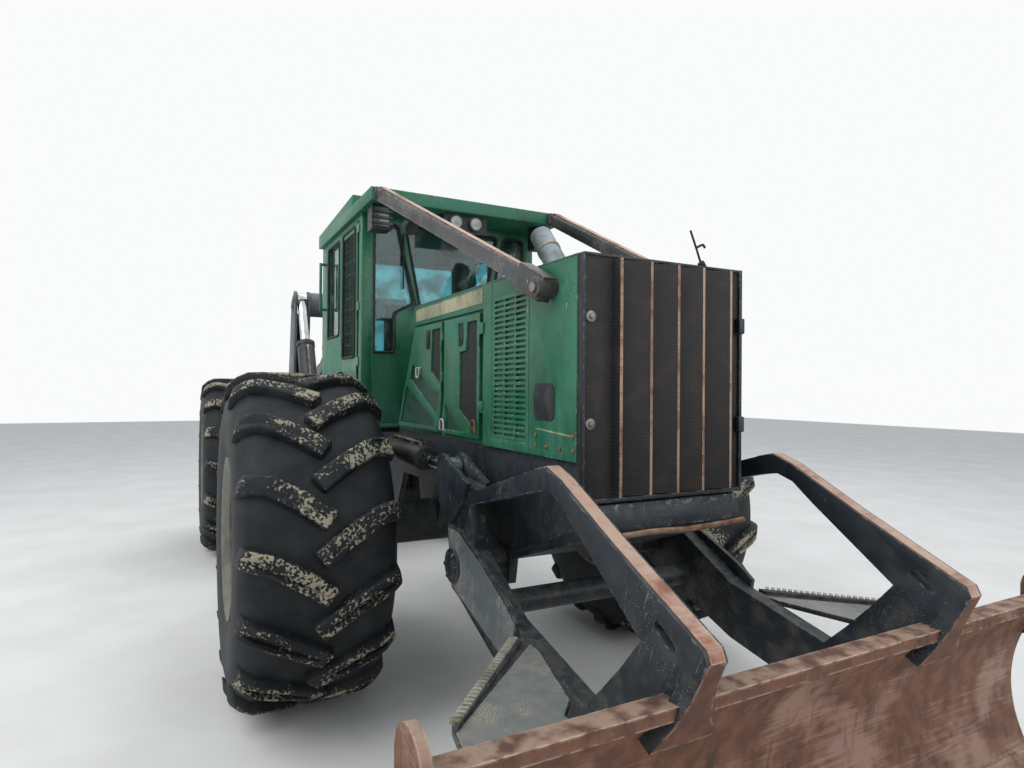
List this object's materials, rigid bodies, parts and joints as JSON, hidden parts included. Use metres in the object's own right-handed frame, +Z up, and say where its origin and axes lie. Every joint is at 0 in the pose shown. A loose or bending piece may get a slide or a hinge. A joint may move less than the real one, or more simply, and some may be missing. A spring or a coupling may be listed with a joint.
{
  "type": "articulated grapple skidder",
  "caption": "Articulated wheeled log skidder with stacking blade, guarded cab, engine hood, swinging arch, boom and rotating grapple.",
  "frame": {"origin": "on the ground under the articulation pin, at the middle of the overall length and width", "axes": "+X forward, +Y to the machine's left, +Z up"},
  "size_m": [9.0299, 3.215, 3.145],
  "materials": {
    "green_paint": "sun-bleached semi-gloss green",
    "dark_frame": "scratched black-blue paint",
    "worn_plate": "rust-worn dark paint",
    "chrome_rod": "polished",
    "screen_brown": "dark brown-black screen paint",
    "cast_block": "matt",
    "stack_steel": "weathered",
    "window_glass": "clear, slightly green",
    "seat_cloth": "black cloth",
    "black_plastic": "matt",
    "rim_paint": "dusty worn paint",
    "tyre_rubber": "mud-dusted"
  },
  "bodies": {
    "front": {"front_frame": "dark_frame", "front_hinge": "dark_frame", "belly_guard": "dark_frame", "engine_block": "cast_block", "front_axle": "dark_frame", "hood": "green_paint", "limb_risers": "worn_plate", "exhaust_stack": "stack_steel", "louvre_panel_right": "green_paint", "louvre_panel_left": "green_paint", "cab_floor": "green_paint", "cab_front_wall": "green_paint", "cab_rear_wall": "green_paint", "cab_side_right": "green_paint", "cab_side_left": "green_paint", "cab_roof": "green_paint", "cab_glass": "window_glass", "operator_seat": "seat_cloth", "dash_console": "black_plastic", "work_lights": "black_plastic", "grab_rails": "green_paint"},
    "rear": {"rear_frame": "dark_frame", "rear_hinge": "dark_frame", "rear_axle": "dark_frame"},
    "push": {"push_frame": "dark_frame", "stacking_blade": "worn_plate"},
    "grille_door": {"grille_door": "screen_brown"},
    "engine_door_right_front": {"engine_door_right_front": "green_paint"},
    "engine_door_right_rear": {"engine_door_right_rear": "green_paint"},
    "engine_door_left_front": {"engine_door_left_front": "green_paint"},
    "engine_door_left_rear": {"engine_door_left_rear": "green_paint"},
    "cab_door_right": {"cab_door_right": "green_paint"},
    "cab_door_left": {"cab_door_left": "green_paint"},
    "blade_barrels": {"blade_barrels": "dark_frame"},
    "blade_rods": {"blade_rods": "chrome_rod"},
    "steer_barrel_right": {"steer_barrel_right": "dark_frame"},
    "steer_barrel_left": {"steer_barrel_left": "dark_frame"},
    "steer_rod_right": {"steer_rod_right": "chrome_rod"},
    "steer_rod_left": {"steer_rod_left": "chrome_rod"},
    "arch": {"arch": "worn_plate"},
    "arch_barrels": {"arch_barrels": "dark_frame"},
    "arch_rods": {"arch_rods": "chrome_rod"},
    "boom": {"boom": "worn_plate"},
    "boom_barrels": {"boom_barrels": "dark_frame"},
    "boom_rods": {"boom_rods": "chrome_rod"},
    "grapple_link": {"grapple_link": "dark_frame"},
    "grapple_head": {"grapple_head": "dark_frame"},
    "tong_right": {"tong_right": "dark_frame"},
    "tong_left": {"tong_left": "dark_frame"},
    "grapple_barrels": {"grapple_barrels": "dark_frame"},
    "grapple_rods": {"grapple_rods": "chrome_rod"},
    "wheel_front_right": {"rim_front_right": "rim_paint", "tyre_front_right": "tyre_rubber"},
    "wheel_front_left": {"rim_front_left": "rim_paint", "tyre_front_left": "tyre_rubber"},
    "wheel_rear_right": {"rim_rear_right": "rim_paint", "tyre_rear_right": "tyre_rubber"},
    "wheel_rear_left": {"rim_rear_left": "rim_paint", "tyre_rear_left": "tyre_rubber"}
  },
  "joints": [
    {"name": "articulation", "type": "hinge", "parent": "front", "child": "rear", "pos_m": [0, 0, 1.03], "axis": [0, 0, 1], "range_deg": [-45, 45]},
    {"name": "wheel_front_right", "type": "hinge", "parent": "front", "child": "wheel_front_right", "pos_m": [1.865, -1.22, 0.915], "axis": [0, 1, 0], "continuous": true},
    {"name": "wheel_front_left", "type": "hinge", "parent": "front", "child": "wheel_front_left", "pos_m": [1.865, 1.22, 0.915], "axis": [0, 1, 0], "continuous": true},
    {"name": "wheel_rear_right", "type": "hinge", "parent": "rear", "child": "wheel_rear_right", "pos_m": [-1.865, -1.22, 0.915], "axis": [0, 1, 0], "continuous": true},
    {"name": "wheel_rear_left", "type": "hinge", "parent": "rear", "child": "wheel_rear_left", "pos_m": [-1.865, 1.22, 0.915], "axis": [0, 1, 0], "continuous": true},
    {"name": "blade_lift", "type": "hinge", "parent": "front", "child": "push", "pos_m": [2.88, 0, 0.9], "axis": [0, -1, 0], "range_deg": [-3, 25]},
    {"name": "blade_cylinder_swing", "type": "hinge", "parent": "front", "child": "blade_barrels", "pos_m": [1.6, 0, 1.365], "axis": [0, -1, 0], "range_deg": [-5.99, 0.73]},
    {"name": "blade_cylinder_rod", "type": "slide", "parent": "blade_barrels", "child": "blade_rods", "axis": [0.9998, 0, -0.0177], "range_m": [-0.1739, 0.0209]},
    {"name": "steer_swing_right", "type": "hinge", "parent": "front", "child": "steer_barrel_right", "pos_m": [0.9, -0.23, 1.03], "axis": [0, 0, 1], "range_deg": [-4.25, 4.25]},
    {"name": "steer_rod_right", "type": "slide", "parent": "steer_barrel_right", "child": "steer_rod_right", "axis": [-0.9946, -0.1036, 0], "range_m": [-0.2441, 0.2441]},
    {"name": "steer_swing_left", "type": "hinge", "parent": "front", "child": "steer_barrel_left", "pos_m": [0.9, 0.23, 1.03], "axis": [0, 0, 1], "range_deg": [-4.25, 4.25]},
    {"name": "steer_rod_left", "type": "slide", "parent": "steer_barrel_left", "child": "steer_rod_left", "axis": [-0.9946, 0.1036, 0], "range_m": [-0.2441, 0.2441]},
    {"name": "arch_tilt", "type": "hinge", "parent": "rear", "child": "arch", "pos_m": [-1.95, 0, 1.23], "axis": [0, -1, 0], "range_deg": [-12, 25]},
    {"name": "arch_cylinder_swing", "type": "hinge", "parent": "rear", "child": "arch_barrels", "pos_m": [-0.83, 0, 1.2], "axis": [0, -1, 0], "range_deg": [-8.02, 16.7]},
    {"name": "arch_cylinder_rod", "type": "slide", "parent": "arch_barrels", "child": "arch_rods", "axis": [-0.4727, 0, 0.8812], "range_m": [-0.1979, 0.4123]},
    {"name": "boom_lift", "type": "hinge", "parent": "arch", "child": "boom", "pos_m": [-1.72, 0, 2.65], "axis": [0, 1, 0], "range_deg": [-5, 35]},
    {"name": "boom_cylinder_swing", "type": "hinge", "parent": "arch", "child": "boom_barrels", "pos_m": [-1.73, 0, 1.48], "axis": [0, 1, 0], "range_deg": [-1.14, 7.92]},
    {"name": "boom_cylinder_rod", "type": "slide", "parent": "boom_barrels", "child": "boom_rods", "axis": [-0.65, 0, 0.76], "range_m": [-0.0643, 0.4499]},
    {"name": "grapple_swing", "type": "hinge", "parent": "boom", "child": "grapple_link", "pos_m": [-4.19, 0, 1.62], "axis": [0, 1, 0], "range_deg": [-45, 35]},
    {"name": "grapple_rotate", "type": "hinge", "parent": "grapple_link", "child": "grapple_head", "pos_m": [-4.19, 0, 1.2], "axis": [0, 0, 1], "continuous": true},
    {"name": "tong_right_open", "type": "hinge", "parent": "grapple_head", "child": "tong_right", "pos_m": [-4.19, -0.11, 1], "axis": [-1, 0, 0], "range_deg": [0, 40]},
    {"name": "tong_left_open", "type": "hinge", "parent": "grapple_head", "child": "tong_left", "pos_m": [-4.19, 0.11, 1], "axis": [1, 0, 0], "range_deg": [-0.01, 40.01]},
    {"name": "grapple_cylinder_swing", "type": "hinge", "parent": "tong_left", "child": "grapple_barrels", "pos_m": [-4.19, 0.42, 1.09], "axis": [1, 0, 0], "range_deg": [-40.01, 0.01]},
    {"name": "grapple_cylinder_rod", "type": "slide", "parent": "grapple_barrels", "child": "grapple_rods", "axis": [0, -1, 0], "range_m": [-0.2334, 0.001]},
    {"name": "cab_door_right", "type": "hinge", "parent": "front", "child": "cab_door_right", "pos_m": [1.106, -0.689, 2.2], "axis": [0, 0, 1], "range_deg": [0, 80]},
    {"name": "engine_door_right_rear", "type": "hinge", "parent": "front", "child": "engine_door_right_rear", "pos_m": [2.124, -0.434, 1.8], "axis": [0, 0, 1], "range_deg": [0, 25]},
    {"name": "engine_door_right_front", "type": "hinge", "parent": "front", "child": "engine_door_right_front", "pos_m": [2.669, -0.434, 1.8], "axis": [0, 0, 1], "range_deg": [0, 45]},
    {"name": "cab_door_left", "type": "hinge", "parent": "front", "child": "cab_door_left", "pos_m": [1.106, 0.689, 2.2], "axis": [0, 0, -1], "range_deg": [0, 80]},
    {"name": "engine_door_left_rear", "type": "hinge", "parent": "front", "child": "engine_door_left_rear", "pos_m": [2.124, 0.434, 1.8], "axis": [0, 0, -1], "range_deg": [0, 25]},
    {"name": "engine_door_left_front", "type": "hinge", "parent": "front", "child": "engine_door_left_front", "pos_m": [2.669, 0.434, 1.8], "axis": [0, 0, -1], "range_deg": [0, 45]},
    {"name": "grille_door", "type": "hinge", "parent": "front", "child": "grille_door", "pos_m": [3.59, 0.436, 1.8], "axis": [0, 0, 1], "range_deg": [0, 38]}
  ],
  "couplings": [
    {"joint": "blade_cylinder_swing", "follows": "blade_lift", "ratio": -0.2344},
    {"joint": "blade_cylinder_rod", "follows": "blade_lift", "m_per_rad": -0.3908},
    {"joint": "steer_swing_right", "follows": "articulation", "ratio": 0.0923},
    {"joint": "steer_rod_right", "follows": "articulation", "m_per_rad": -0.3047},
    {"joint": "steer_swing_left", "follows": "articulation", "ratio": 0.0923},
    {"joint": "steer_rod_left", "follows": "articulation", "m_per_rad": 0.3047},
    {"joint": "arch_cylinder_swing", "follows": "arch_tilt", "ratio": 0.6544},
    {"joint": "arch_cylinder_rod", "follows": "arch_tilt", "m_per_rad": 0.9264},
    {"joint": "boom_cylinder_swing", "follows": "boom_lift", "ratio": 0.2215},
    {"joint": "boom_cylinder_rod", "follows": "boom_lift", "m_per_rad": 0.7221},
    {"joint": "tong_left_open", "follows": "tong_right_open", "ratio": 1},
    {"joint": "grapple_cylinder_swing", "follows": "tong_right_open", "ratio": -1},
    {"joint": "grapple_cylinder_rod", "follows": "tong_right_open", "m_per_rad": -0.331}
  ]
}
